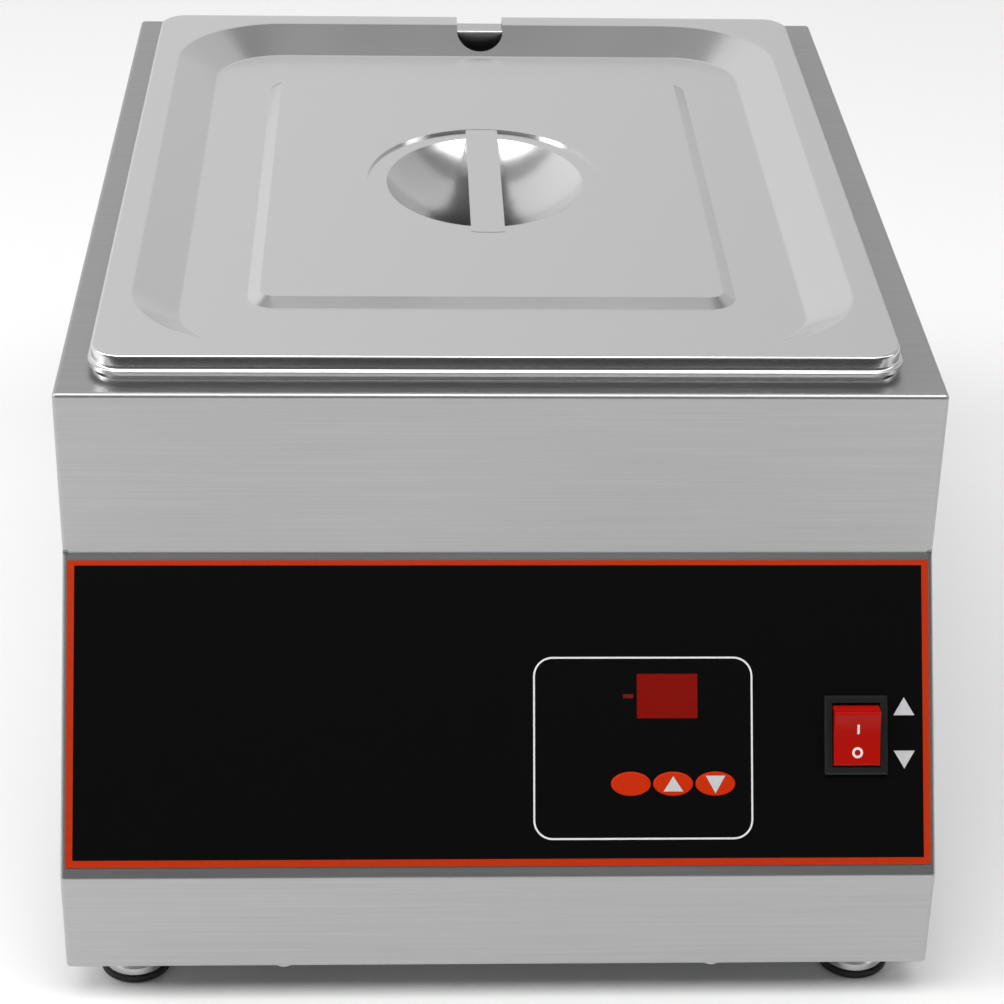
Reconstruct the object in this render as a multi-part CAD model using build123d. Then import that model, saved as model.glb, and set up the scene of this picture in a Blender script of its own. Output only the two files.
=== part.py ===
from build123d import *
import os
from math import atan2, cos, pi, radians, sin, tan

# Table-top chocolate melter: a stainless box with a sloped control panel, a water bath with an
# immersed heating element, and a half-size gastronorm pan with its lid.
# Millimetres. X to the right, Y to the back, Z up. The origin is on the table, under the middle
# of the whole object. The front faces -Y.

# Gastronorm half size, which the pan and its lid have and the casing is drawn round
gn_l = 325.0
gn_w = 265.0

# Casing
side_margin = 11.5
lid_setback = 7.2
back_margin = 17.8
body_w = gn_w + 2 * side_margin
deck_d = lid_setback + gn_l + back_margin
band_h = 58.5
slope_h = 90.0
nose = 57.5
skirt_h = 37.0
sheet = 1.0
bend_r = 1.6
return_w = 14.0
relief_r = 0.9
cover_margin = 2.5

# Feet
foot_h = 14.0
foot_inset = 21.0
foot_r = 12.0
cup_r = 11.3
cup_top_r = 8.5
cup_wall = 0.8
pad_rim_h = 2.5
foot_bolt_r = 2.5

# Pan and tank
pan_shift = -1.5
pan_sheet = 0.8
rim_rise = 7.3
rim_inset = 1.4
rim_lip_w = 2.2
rim_lip_run = 0.8
edge_r = 0.3
mouth_edge_r = 0.6
rim_w = 11.0
rim_corner_r = 11.5
pan_depth = 100.0
pan_shoulder = 22.0
pan_step = 3.5
pan_corner_r = 34.0
pan_floor_r = 14.0
pan_draft = 5.0
deck_gap = 5.0
tank_gap = 1.2
water_room = 37.6
tank_sheet = 0.8
tank_corner_r = 25.0
tank_floor_r = 8.0
tank_flange = 6.0
wrap_t = 8.0
wrap_h = 84.0
wrap_drop = 10.0

# Lid form
brim_lift = 3.6
brim_rise = 0.7
brim_cove_r = 1.2
hem_w = 3.0
crown_inset = 1.25
crown_rise = 9.45
crown_w = 10.05
crown_edge_r = 1.0
recess_drop = 8.8
recess_run = 15.0
recess_r = 1.6
recess_corner_r = 41.0
platform_margin_x = 21.65
platform_margin_y = 28.05
platform_run = 5.2
platform_rise = 2.5
platform_corner_r = 10.35
ledge_rx = 43.8
ledge_ry = 49.3
ledge_drop = 0.9
ledge_w = 7.2
cup_depth = 17.0
strap_w = 12.2
notch_w = 19.0
notch_reach = 23.8
notch_dx = 1.9

# Control panel. Places go down from the sloped face's top edge, and in from the casing's right side.
film_edge = 1.75
film_w = body_w - 2 * film_edge
film_l = 100.5
film_t = 0.4
film_top = 2.6
window_x = body_w / 2 - 88.9
window_s = 47.5
window_w = 20.0
window_l = 14.6
window_lap = 1.0
key_pitch = 13.95
key_x = body_w / 2 - 87.05
key_xs = {"set": key_x - key_pitch, "up": key_x, "down": key_x + key_pitch}
key_s = 76.35
key_rx = 6.6
key_ry = 4.0
key_gap = 0.2
key_rise = 0.7
key_sink = 0.3
key_hole_gap = 0.5
board_x = body_w / 2 - 96.9
board_s = 64.6
board_w = 70.0
board_l = 56.0
board_t = 1.6
board_gap = 7.5
board_hole_inset = 4.0
stud_r = 1.5
spacer_r = 3.0
tact_w = 6.0
tact_h = 3.6
plunger_r = 1.75
run_gap = 0.05
display_h = 7.0
display_w = 22.6
display_l = 16.0
strip_ds = 20.0
strip_l = 9.0
supply_dx = -14.0
supply_w = 20.0
supply_h = 9.0
supply_poles = (7.5, 2.5, -2.5, -7.5)
signal_dx = 14.0
signal_w = 14.0
signal_h = 8.0
transformer_dx = -12.0
transformer_ds = -9.0
core_size = (28.0, 24.0, 16.0)
bobbin_size = (16.0, 30.0, 12.0)
relay_dx = 17.0
relay_size = (15.5, 19.0, 15.0)
nut_h = 2.4
small_nut_flats = 5.5

# Rocker switch
switch_x = body_w / 2 - 26.5
switch_s = 60.5
bezel_w = 21.0
bezel_l = 26.2
bezel_t = 2.0
mouth_w = 15.9
mouth_l = 21.2
switch_wall = 1.3
switch_depth = 17.0
switch_cut_gap = 0.2
rocker_gap = 0.3
rocker_lift = 5.0
rocker_dip = 0.9
rocker_top_l = 18.2
pivot_sink = 1.8
pivot_r = 1.5
pivot_l = 0.8
rocker_tilt = 11.0
blade_w = 4.8
blade_t = 0.8
blade_l = 8.0

# Heating
element_r = 4.0
element_rise = 19.0
element_margin = 31.0
element_cold_x = (54.0 - body_w / 2, 99.0 - body_w / 2)
element_bend_r = 22.0
saddle_w = 12.0
saddle_l = 10.0
cold_end = 16.0
pin_r = 1.5
pin_l = 6.0
fitting_r = 6.5
collar_t = 3.0
gasket_t = 1.5
nut_t = 5.0
probe_x = sum(element_cold_x) / 2
probe_r = 3.0
gland_r = 4.5
probe_in = 45.0
probe_out = 12.0
cutout_x = 84.0 - body_w / 2
cutout_y = 90.0
cutout_r = 8.0
cutout_h = 12.0
cutout_stud_pitch = 24.0

# Rear and base
rear_vent_w = 46.0
rear_vent_h = 4.0
rear_vent_pitch = 12.0
rear_vent_rows = 6
base_vent_w = 34.0
base_vent_l = 4.0
base_vent_pitch = 12.0
base_vent_rows = 8
screw_r = 1.9
screw_head_r = 3.6
screw_head_h = 2.2
screw_l = 7.0
screw_gap = 0.1
inlet_x = body_w / 2 - 74.0
inlet_rise = 27.0
inlet_rim_w = 50.0
inlet_rim_h = 24.0
inlet_rim_t = 2.6
inlet_screw_r = 1.5
inlet_screw_l = 9.0
inlet_head_h = 1.5
inlet_body_w = 27.0
inlet_body_h = 19.6
inlet_body_d = 22.0
inlet_mouth_w = 24.4
inlet_mouth_h = 16.8
inlet_mouth_d = 16.0
inlet_pitch = 40.0
pin_w = 2.0
pin_h = 4.0
pin_places = [(-7.0, -2.0), (0.0, 2.0), (7.0, -2.0)]
tab_l = 9.0
block_x = body_w / 2 - 84.0
block_setback = 105.0
block_w = 32.0
block_d = 24.0
block_h = 18.0
block_poles = 2
block_wire_h = 7.0
earth_x = body_w / 2 - 32.0
earth_setback = 70.0
earth_r = 2.5
earth_l = 16.0
ring_t = 1.0
ring_reach = 11.5
ring_barrel_l = 5.0
wire_r = 1.3
run_rise = 6.0
receptacle_w = 6.4
receptacle_t = 2.4
receptacle_over = 1.5
sleeve_r = 2.2
sleeve_l = 8.0
probe_lead_r = 1.1
clip_ys = (-85.0, -20.0)
clip_l = 8.0
clip_wall = 4.0

# Levels and places that follow
z_base = foot_h
z_skirt = z_base + skirt_h
z_slope = z_skirt + slope_h
z_deck = z_slope + band_h
rear_proud = sheet + inlet_rim_t
depth = nose + deck_d + rear_proud
y_nose = -depth / 2
y_band = y_nose + nose
y_back = y_band + deck_d
y_pan = y_band + lid_setback + gn_l / 2
z_rim = z_deck + rim_rise
z_brim = z_deck + brim_lift
z_crown = z_deck + crown_rise
z_lid_floor = z_crown - recess_drop
z_platform = z_lid_floor + platform_rise
z_ledge = z_platform - ledge_drop
pan_w = gn_w - 2 * (rim_inset + rim_w)
pan_l = gn_l - 2 * (rim_inset + rim_w)
deck_open_w = pan_w + 2 * deck_gap
deck_open_l = pan_l + 2 * deck_gap
tank_w = deck_open_w + 2 * tank_gap
tank_l = deck_open_l + 2 * tank_gap
z_tank_top = z_deck - sheet
z_tank_floor = z_rim - pan_depth - water_room
y_tank_front = y_pan - tank_l / 2 - tank_sheet
z_element = z_tank_floor + element_rise
z_board_face = -(sheet + board_gap)
z_board_back = z_board_face - board_t
y_block = y_back - block_setback
y_earth = y_back - earth_setback
y_cutout = y_band + cutout_y
y_pin_tip = y_tank_front - cold_end - pin_l
z_run = z_base + run_rise
z_inlet = z_base + inlet_rise
switch_body_w = mouth_w + 2 * switch_wall
switch_body_l = mouth_l + 2 * switch_wall
switch_blade_places = [
    (sx * switch_body_w / 4, ss * switch_body_l / 4) for ss in (1, -1) for sx in (-1, 1)]
z_cutout_low = z_tank_floor - tank_sheet - cutout_h
blade_tip = -(switch_depth + blade_l + receptacle_over)
strip_s = board_s + strip_ds
supply_face = z_board_back - supply_h
recess_inset = crown_inset + crown_w + recess_run
platform_w = gn_w - 2 * (recess_inset + platform_margin_x)
platform_l = gn_l - 2 * (recess_inset + platform_margin_y)
panel = Plane(origin=(0, y_band, z_slope), x_dir=(1, 0, 0), z_dir=(0, -slope_h, nose))


def on_panel(x, s, out=0.0):
    """A place on the sloped face: x across, s down the slope, out along its normal."""
    return panel * Pos(x, -s, out)


def group(pieces):
    """Several separate solids that share one node."""
    return Compound([solid for piece in pieces for solid in piece.solids()])


def rounded_block(w, l, r, z0, z1):
    """An upright block with rounded corners, between two heights."""
    return Pos(0, 0, z0) * extrude(RectangleRounded(w, l, r), amount=z1 - z0)


def rounded_funnel(w0, l0, r0, z0, w1, l1, r1, z1):
    """A block whose rounded outline changes evenly from one height to another."""
    low = Pos(0, 0, z0) * RectangleRounded(w0, l0, r0)
    high = Pos(0, 0, z1) * RectangleRounded(w1, l1, r1)
    return loft([low, high], ruled=True)


def edges_at(shape, z):
    """The edges that lie level at one height."""
    return [e for e in shape.edges() if abs(e.bounding_box().min.Z - z) < 1e-3
            and abs(e.bounding_box().max.Z - z) < 1e-3]


def within(edges, w, l):
    """The edges that lie wholly inside a rectangle about the origin."""
    boxes = [(e, e.bounding_box()) for e in edges]
    return [e for e, box in boxes if max(-box.min.X, box.max.X) < w / 2
            and max(-box.min.Y, box.max.Y) < l / 2]


def pan_head_screw(r, length, head_r, head_h):
    """A screw pointing down from its seat at z = 0, with its head above."""
    head = fillet(Cylinder(head_r, head_h, align=(Align.CENTER, Align.CENTER, Align.MIN)).edges()
                  .group_by(Axis.Z)[-1], head_h * 0.45)
    slot = Pos(0, 0, head_h) * (Box(head_r * 1.1, 0.8, head_h) + Box(0.8, head_r * 1.1, head_h))
    shank = Pos(0, 0, -length) * Cylinder(r, length, align=(Align.CENTER, Align.CENTER, Align.MIN))
    return head - slot + shank


def hex_nut(bore_r, flats, thickness):
    """A hexagon nut standing on z = 0."""
    body = extrude(RegularPolygon(flats / 2, 6, major_radius=False), amount=thickness)
    bore = Cylinder(bore_r, thickness * 3)
    return body - bore


def lead(points, r=wire_r):
    """A round wire along straight runs joined by the widest arcs that the runs allow."""
    pts = [Vector(*p) for p in points]
    radii = []
    for a, b, c in zip(pts, pts[1:], pts[2:]):
        turn = radians((b - a).get_angle(c - b))
        radii.append(0.45 * min((b - a).length, (c - b).length) / tan(turn / 2))
    path = FilletPolyline(*pts, radius=radii)
    start = Plane(origin=path @ 0, z_dir=path % 0)
    return sweep(start * Circle(r), path=path)


# Casing

def side_outline(inset):
    """The casing's outline seen from the side, with every face moved in by the same amount."""
    points = [
        (y_band, z_deck), (y_band, z_slope), (y_nose, z_skirt), (y_nose, z_base),
        (y_back, z_base), (y_back, z_deck),
    ]
    face = make_face(Plane.YZ * Polyline(*points, close=True))
    return offset(face, amount=-inset, kind=Kind.INTERSECTION) if inset else face


def foot_places():
    """The middle of each foot, at the underside of the base plate."""
    x = body_w / 2 - foot_inset
    return [(sx * x, y) for sx in (-1, 1) for y in (y_nose + foot_inset, y_back - foot_inset)]


def base_screw_places():
    """Screws along the return flanges of the bottom opening."""
    x = body_w / 2 - return_w / 2
    mid = (y_nose + y_back) / 2
    across = body_w / 4
    rows = [(sx * x, mid + dy * deck_d / 4) for sx in (-1, 1) for dy in (-1, 0, 1)]
    ends = [(sx * across, y) for sx in (-1, 1)
            for y in (y_nose + return_w / 2, y_back - return_w / 2)]
    return rows + ends


def rear_screw_places():
    """Screws along the return flanges of the rear opening, as x and z."""
    x = body_w / 2 - return_w / 2
    mid = (z_base + z_deck) / 2
    tall = (z_deck - z_base) / 2 - return_w
    rows = [(sx * x, mid + dz * tall) for sx in (-1, 1) for dz in (-1, 0, 1)]
    tops = [(sx * body_w / 5, z_deck - return_w / 2) for sx in (-1, 1)]
    return rows + tops


def make_casing():
    """Deck, band, sloped panel, skirt and sides in one welded shell, open behind and below."""
    solid = extrude(side_outline(0), amount=body_w / 2, both=True)
    solid = fillet(solid.edges(), bend_r)
    hollow = extrude(side_outline(sheet), amount=body_w / 2 - sheet, both=True)
    shell = solid - hollow
    mid_z = (z_base + z_deck) / 2
    rear = Pos(0, y_back, mid_z) * Box(body_w - 2 * return_w, 4 * sheet, z_deck - z_base - 2 * return_w)
    under_l = y_back - y_nose - 2 * return_w
    under = Pos(0, (y_nose + y_back) / 2, z_base) * Box(body_w - 2 * return_w, under_l, 4 * sheet)
    opening = Pos(0, y_pan, 0) * rounded_block(
        deck_open_w, deck_open_l, pan_corner_r + deck_gap, z_deck - 2 * sheet, z_deck + sheet)
    shell = shell - rear - under - opening
    shell -= on_panel(window_x, window_s) * Box(
        window_w - 2 * window_lap, window_l - 2 * window_lap, 4 * sheet)
    for x in key_xs.values():
        hole = Ellipse(key_rx + key_hole_gap, key_ry + key_hole_gap)
        shell -= on_panel(x, key_s, -2 * sheet) * extrude(hole, amount=4 * sheet)
    shell -= on_panel(switch_x, switch_s) * Box(
        switch_body_w + 2 * switch_cut_gap, switch_body_l + 2 * switch_cut_gap, 4 * sheet)
    for side in (-1, 1):
        notch = Cylinder(relief_r, 4 * sheet, rotation=(0, 90, 0))
        shell -= Pos(side * body_w / 2, y_band, z_slope) * notch
    for x, y in base_screw_places():
        shell -= Pos(x, y, z_base) * Cylinder(screw_r + screw_gap, 4 * sheet)
    for x, z in rear_screw_places():
        shell -= Pos(x, y_back, z) * Cylinder(screw_r + screw_gap, 4 * sheet, rotation=(90, 0, 0))
    return shell


def make_rear_cover():
    """Flat rear cover over the service opening, with vents and the mains inlet's cut-out."""
    w = body_w - 2 * cover_margin
    h = z_deck - z_base - 2 * cover_margin
    mid_z = (z_base + z_deck) / 2
    plate = Pos(0, y_back + sheet / 2, mid_z) * Box(w, sheet, h)
    plate = fillet(plate.edges().filter_by(Axis.Y), return_w / 4)
    for x, z in rear_screw_places():
        plate -= Pos(x, y_back, z) * Cylinder(screw_r + screw_gap, 4 * sheet, rotation=(90, 0, 0))
    slot = Rot(90, 0, 0) * extrude(SlotOverall(rear_vent_w, rear_vent_h), amount=2 * sheet, both=True)
    top = z_deck - 3 * return_w
    for side in (-1, 1):
        for row in range(rear_vent_rows):
            plate -= Pos(side * body_w / 4, y_back, top - row * rear_vent_pitch) * slot
    plate -= Pos(inlet_x, y_back, z_inlet) * Box(inlet_body_w + 0.4, 4 * sheet, inlet_body_h + 0.4)
    for side in (-1, 1):
        hole = Cylinder(inlet_screw_r + screw_gap, 4 * sheet, rotation=(90, 0, 0))
        plate -= Pos(inlet_x + side * inlet_pitch / 2, y_back, z_inlet) * hole
    return plate


def make_base_plate():
    """Base plate under the return flanges, with vents, carrying the four feet."""
    w = body_w - 2 * cover_margin
    l = y_back - y_nose - 2 * cover_margin
    mid_y = (y_nose + y_back) / 2
    plate = Pos(0, mid_y, z_base - sheet / 2) * Box(w, l, sheet)
    plate = fillet(plate.edges().filter_by(Axis.Z), return_w / 4)
    for x, y in base_screw_places():
        plate -= Pos(x, y, z_base) * Cylinder(screw_r + screw_gap, 4 * sheet)
    for x, y in foot_places():
        plate -= Pos(x, y, z_base) * Cylinder(foot_bolt_r + screw_gap, 4 * sheet)
    slot = extrude(SlotOverall(base_vent_w, base_vent_l), amount=2 * sheet, both=True)
    first = y_nose + 3.5 * return_w
    for side in (-1, 1):
        for row in range(base_vent_rows):
            plate -= Pos(side * body_w / 5, first + row * base_vent_pitch, z_base) * slot
    return plate


def make_screws(places, pose, r, length, head_r, head_h):
    """One screw at each place, turned to point into the machine."""
    screw = pose * pan_head_screw(r, length, head_r, head_h)
    return group([Pos(*place) * screw for place in places])


# Feet

def make_feet():
    """Bright metal cups over black rubber pads, each held by a bolt and a nut."""
    z_under = z_base - sheet
    z_pad_top = z_under - cup_wall
    head_h = 3.0
    outer = Polyline(
        (0, z_under), (cup_top_r, z_under), (cup_r, pad_rim_h + 3.0), (cup_r, pad_rim_h),
        (0, pad_rim_h), close=True)
    inner = Polyline(
        (0, z_pad_top), (cup_top_r - cup_wall * 0.6, z_pad_top), (cup_r - cup_wall, pad_rim_h + 3.0),
        (cup_r - cup_wall, pad_rim_h), (0, pad_rim_h), close=True)
    cup = revolve(make_face(Plane.XZ * outer), Axis.Z) - revolve(make_face(Plane.XZ * inner), Axis.Z)
    cup -= Pos(0, 0, z_under) * Cylinder(foot_bolt_r + screw_gap, 4 * cup_wall)
    rim = Cylinder(foot_r, pad_rim_h, align=(Align.CENTER, Align.CENTER, Align.MIN))
    rim = chamfer(rim.edges().group_by(Axis.Z)[0], pad_rim_h * 0.2)
    core_h = z_pad_top - pad_rim_h
    core_r = cup_top_r - cup_wall - 0.4
    core = Pos(0, 0, pad_rim_h) * Cylinder(core_r, core_h, align=(Align.CENTER, Align.CENTER, Align.MIN))
    pad = rim + core
    seat_z = z_pad_top - 3.0
    pad -= Cylinder(foot_bolt_r + screw_gap, 4 * foot_h)
    pad -= Cylinder(core_r - 1.5, seat_z, align=(Align.CENTER, Align.CENTER, Align.MIN))
    bolt_l = z_base + nut_t + 1.0 - seat_z
    bolt = Pos(0, 0, seat_z) * Rot(180, 0, 0) * pan_head_screw(
        foot_bolt_r, bolt_l, core_r - 1.8, head_h)
    nut = Pos(0, 0, z_base) * hex_nut(foot_bolt_r, foot_bolt_r * 3.2, nut_t - 1.0)
    pieces = {"foot_cups": cup, "foot_pads": pad, "foot_bolts": bolt, "foot_nuts": nut}
    return {name: group([Pos(x, y, 0) * one for x, y in foot_places()]) for name, one in pieces.items()}


# Water bath

def make_tank():
    """Deep-drawn water tank whose flange is welded under the deck's opening."""
    t = tank_sheet
    outer = rounded_block(tank_w + 2 * t, tank_l + 2 * t, tank_corner_r + t, z_tank_floor - t, z_tank_top)
    outer = fillet(edges_at(outer, z_tank_floor - t), tank_floor_r + t)
    inner = rounded_block(tank_w, tank_l, tank_corner_r, z_tank_floor, z_tank_top + t)
    inner = fillet(edges_at(inner, z_tank_floor), tank_floor_r)
    flange = rounded_block(
        tank_w + 2 * (t + tank_flange), tank_l + 2 * (t + tank_flange), tank_corner_r + t + tank_flange,
        z_tank_top - t, z_tank_top)
    tank = Pos(0, y_pan, 0) * (outer + flange - inner)
    for x in element_cold_x:
        tank -= Pos(x, y_tank_front, z_element) * Cylinder(fitting_r, 6 * t, rotation=(90, 0, 0))
    tank -= Pos(probe_x, y_tank_front, z_element) * Cylinder(gland_r, 6 * t, rotation=(90, 0, 0))
    return tank


def make_tank_wrap():
    """Insulation sleeve round the upper part of the tank."""
    t = tank_sheet
    top = z_tank_top - wrap_drop
    outer = rounded_block(
        tank_w + 2 * (t + wrap_t), tank_l + 2 * (t + wrap_t), tank_corner_r + t + wrap_t, top - wrap_h, top)
    inner = rounded_block(
        tank_w + 2 * t, tank_l + 2 * t, tank_corner_r + t, top - wrap_h - 1, top + 1)
    return Pos(0, y_pan, 0) * (outer - inner)


def pan_body(grow, floor_lift):
    """The pan's drawn body as a filled form, its walls moved in by a negative grow."""
    w, l, r = pan_w + 2 * grow, pan_l + 2 * grow, pan_corner_r + grow
    z_step = z_rim - pan_shoulder
    z_low = z_rim - pan_depth + floor_lift
    drift = (z_step - (z_rim - pan_depth)) * tan(radians(pan_draft))
    collar = rounded_block(w, l, r, z_step + floor_lift, z_rim + 2)
    neck_w, neck_l, neck_r = w - 2 * pan_step, l - 2 * pan_step, r - pan_step
    neck = rounded_funnel(
        neck_w - 2 * drift, neck_l - 2 * drift, neck_r - drift / 2, z_low,
        neck_w, neck_l, neck_r, z_step + floor_lift + 0.5)
    neck = fillet(edges_at(neck, z_low), pan_floor_r + grow)
    return collar + neck


def rim_form(inset, z0, z1):
    """The raised part of the pan's rim as a filled form, drawn in from the rim's outline."""
    w, l, r = gn_w - 2 * rim_inset, gn_l - 2 * rim_inset, rim_corner_r - rim_inset
    top = inset + rim_lip_run
    return rounded_funnel(w - 2 * inset, l - 2 * inset, r - inset, z0, w - 2 * top, l - 2 * top, r - top, z1)


def make_pan():
    """Half-size gastronorm pan: lip and raised rim, short upright collar, shoulder, drafted body."""
    t = pan_sheet
    lip = rounded_block(
        gn_w - 2 * rim_inset, gn_l - 2 * rim_inset, rim_corner_r - rim_inset, z_deck, z_deck + t)
    lip = fillet(edges_at(lip, z_deck + t), edge_r)
    # The riser between lip and rim leans, so the sheet's far side is drawn in by more at its foot.
    lean = atan2(z_rim - z_deck - t, rim_lip_run)
    under = rim_form(rim_lip_w + t * tan(lean / 2), z_deck, z_rim - t)
    rim = lip + rim_form(rim_lip_w, z_deck + t, z_rim) - under
    above = rounded_block(gn_w, gn_l, rim_corner_r, z_rim, z_rim + 3)
    body = rim + pan_body(0, 0) - pan_body(-t, t) - above
    body = fillet(within(edges_at(body, z_rim), pan_w, pan_l), mouth_edge_r)
    return Pos(pan_shift, y_pan, 0) * body


# Lid

def lid_form(t):
    """The lid as a filled form, with every face moved t inwards from the outside."""
    low = z_deck - 2 * cup_depth
    outline_r = rim_corner_r - t
    brim = rounded_block(gn_w - 2 * t, gn_l - 2 * t, outline_r, low, z_brim + brim_rise - t)
    crown_w0, crown_l0 = gn_w - 2 * crown_inset, gn_l - 2 * crown_inset
    crown_r = rim_corner_r - crown_inset - t
    crown = rounded_block(crown_w0 - 2 * t, crown_l0 - 2 * t, crown_r, low, z_crown - t)
    crown = fillet(edges_at(crown, z_crown - t), crown_edge_r - t / 2)
    form = brim + crown
    if t == 0:
        foot = within(edges_at(form, z_brim + brim_rise), gn_w - crown_inset, gn_l - crown_inset)
        form = fillet(foot, brim_cove_r)
    # The recess wall leans by the same angle all round, so moving it in by t shifts its outline.
    lean = atan2(recess_drop, recess_run)
    shift = t * tan(lean / 2)
    mouth_w0 = crown_w0 - 2 * crown_w + 2 * shift
    mouth_l0 = crown_l0 - 2 * crown_w + 2 * shift
    floor_w0, floor_l0 = mouth_w0 - 2 * recess_run, mouth_l0 - 2 * recess_run
    floor_r = recess_corner_r - recess_run
    # The cut is carried on above the crown at the same slope, so that its mouth is sharp.
    over = 2.0
    beyond = over * recess_run / recess_drop
    recess = rounded_funnel(
        floor_w0, floor_l0, floor_r, z_lid_floor - t, mouth_w0 + 2 * beyond, mouth_l0 + 2 * beyond,
        floor_r + recess_run + beyond, z_crown - t + over)
    form -= recess
    form = fillet(edges_at(form, z_lid_floor - t), recess_r + t)
    mouth = within(edges_at(form, z_crown - t), mouth_w0 + crown_w, mouth_l0 + crown_w)
    form = fillet(mouth, recess_r - t)
    base_w = platform_w - t
    base_l = platform_l - t
    platform = rounded_funnel(
        base_w, base_l, platform_corner_r, z_lid_floor - t - 0.5,
        base_w - 2 * platform_run, base_l - 2 * platform_run, platform_corner_r - platform_run,
        z_platform - t)
    form += platform
    ledge = extrude(Ellipse(ledge_rx + t / 2, ledge_ry + t / 2), amount=ledge_drop * 2)
    form -= Pos(0, 0, z_ledge - t) * ledge
    form -= Pos(0, 0, z_ledge - t) * handle_cup(t)
    return form


def handle_cup(t):
    """The hollow of the finger cup below the ledge: a ball's cap, drawn out a little lengthwise."""
    rx = ledge_rx - ledge_w
    stretch = (ledge_ry - ledge_w) / rx
    ball_r = (rx ** 2 + cup_depth ** 2) / (2 * cup_depth)
    ball = Pos(0, 0, ball_r - cup_depth) * Sphere(ball_r + t / 2)
    cap = ball - Pos(0, 0, 2 * ball_r) * Box(8 * ball_r, 8 * ball_r, 4 * ball_r)
    return scale(cap, by=(1, stretch, 1))


def make_lid():
    """Half-size gastronorm lid: hemmed brim, raised flange, sunk floor, platform and ladle notch."""
    lid = lid_form(0) - lid_form(pan_sheet)
    z_hem = z_brim - pan_sheet
    below = rounded_block(gn_w + 2, gn_l + 2, rim_corner_r, z_deck - 3 * cup_depth, z_hem)
    below -= rounded_block(
        gn_w - 2 * crown_inset - 2 * crown_w, gn_l - 2 * crown_inset - 2 * crown_w, recess_corner_r,
        z_deck - 4 * cup_depth, z_deck + crown_rise)
    hem = rounded_block(gn_w, gn_l, rim_corner_r, z_hem, z_brim)
    hem -= rounded_block(
        gn_w - 2 * hem_w, gn_l - 2 * hem_w, rim_corner_r - hem_w, z_hem - pan_sheet, z_crown)
    lid = lid - below + hem
    r = notch_w / 2
    y_end = gn_l / 2 - notch_reach + r
    notch = Pos(0, y_end, z_deck - cup_depth) * Cylinder(
        r, 3 * cup_depth, align=(Align.CENTER, Align.CENTER, Align.MIN))
    notch += Pos(0, y_end + notch_reach, z_deck) * Box(notch_w, 2 * notch_reach, 2 * cup_depth)
    return Pos(pan_shift, y_pan, 0) * (lid - Pos(notch_dx, 0, 0) * notch)


def make_strap():
    """Flat strap across the finger cup, resting on the ledge at both ends."""
    outline = Ellipse(ledge_rx - 0.4, ledge_ry - 0.4) & Rectangle(strap_w, 3 * ledge_ry)
    bar = extrude(outline, amount=ledge_drop)
    return Pos(pan_shift, y_pan, z_ledge) * bar


# Heating

def make_element():
    """Tubular element lying round the tank's floor, with both cold ends through the front wall."""
    side = tank_w / 2 - element_margin
    back = y_pan + tank_l / 2 - element_margin
    front = y_tank_front + element_margin + tank_sheet
    out = y_tank_front - cold_end
    left, right = element_cold_x
    points = [
        (left, out, z_element), (left, back, z_element), (side, back, z_element),
        (side, front, z_element), (right, front, z_element), (right, out, z_element),
    ]
    path = FilletPolyline(*points, radius=element_bend_r)
    tube = sweep(Plane(origin=path @ 0, z_dir=path % 0) * Circle(element_r), path=path)
    pin = Cylinder(pin_r, pin_l, rotation=(90, 0, 0))
    pins = [Pos(x, out - pin_l / 2, z_element) * pin for x in element_cold_x]
    return tube + pins


def fitting_set(x, z, bore, neck_r):
    """Collar and threaded neck through the tank wall, its gasket inside and its nut outside."""
    along = Rot(90, 0, 0)
    inside = y_tank_front + tank_sheet
    neck_l = tank_sheet + gasket_t + nut_t + 2.0
    collar = Cylinder(neck_r + 3.5, collar_t, align=(Align.CENTER, Align.CENTER, Align.MIN))
    neck = Pos(0, 0, collar_t) * Cylinder(neck_r, neck_l, align=(Align.CENTER, Align.CENTER, Align.MIN))
    fitting = collar + neck - Cylinder(bore, 8 * neck_l)
    fitting = Pos(x, inside + gasket_t + collar_t, z) * along * fitting
    ring = Cylinder(neck_r + 3.0, gasket_t, align=(Align.CENTER, Align.CENTER, Align.MIN))
    ring = Pos(x, inside + gasket_t, z) * along * (ring - Cylinder(neck_r, 4 * gasket_t))
    nut = Pos(x, y_tank_front, z) * along * hex_nut(neck_r, neck_r * 2 + 6.0, nut_t)
    return fitting, ring, nut


def make_fittings():
    """The element's two fittings and the probe's gland, with their gaskets and nuts."""
    sets = [fitting_set(x, z_element, element_r, fitting_r) for x in element_cold_x]
    gland = fitting_set(probe_x, z_element, probe_r, gland_r)
    return {
        "element_fittings": group([s[0] for s in sets]),
        "tank_gaskets": group([s[1] for s in sets] + [gland[1]]),
        "element_nuts": group([s[2] for s in sets]),
        "probe_gland": gland[0],
        "probe_nut": gland[2],
    }


def make_element_clips():
    """Two saddles on the tank's floor under the element's long runs."""
    side = tank_w / 2 - element_margin
    block = Box(saddle_w, saddle_l, element_rise, align=(Align.CENTER, Align.CENTER, Align.MIN))
    saddle = block - Pos(0, 0, element_rise) * Cylinder(element_r, 2 * saddle_l, rotation=(90, 0, 0))
    tunnel = Box(saddle_w * 0.5, 2 * saddle_l, 2 * (element_rise - element_r - 2))
    saddle -= tunnel
    places = [element_cold_x[0], side]
    return group([Pos(x, y_pan, z_tank_floor) * saddle for x in places])


def make_probe():
    """Stainless temperature probe through the tank's front wall."""
    length = probe_in + probe_out
    rod = Pos(probe_x, y_tank_front + probe_in, z_element) * Rot(90, 0, 0) * Cylinder(
        probe_r, length, align=(Align.CENTER, Align.CENTER, Align.MIN))
    return fillet(rod.edges().group_by(Axis.Y)[-1], probe_r * 0.6)


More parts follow.
